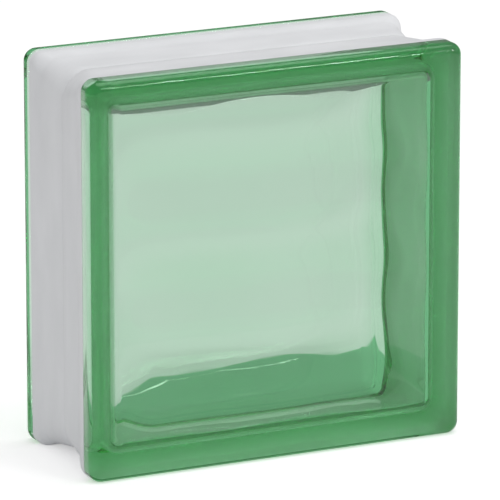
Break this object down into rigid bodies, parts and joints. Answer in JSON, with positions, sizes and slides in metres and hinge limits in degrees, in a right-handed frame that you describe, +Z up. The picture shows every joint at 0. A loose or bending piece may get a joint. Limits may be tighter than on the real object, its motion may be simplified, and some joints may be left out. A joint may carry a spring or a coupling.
{
  "type": "glass block",
  "caption": "Square hollow glass building block of fused pressed trays, tinted green, with wavy inner faces and a white coated mortar groove.",
  "frame": {"origin": "on the floor, under the middle of the block as it stands on its flanges", "axes": "+X along the width to the right of the front face, +Y through the depth from the front face to the back face, +Z up the height"},
  "size_m": [0.19, 0.08, 0.19],
  "materials": {
    "green_glass": "polished, tinted in the mass",
    "white_coating": "satin sprayed coating"
  },
  "bodies": {
    "root": {"glass_front_half": "green_glass", "glass_back_half": "green_glass", "edge_coating": "white_coating"}
  },
  "joints": []
}
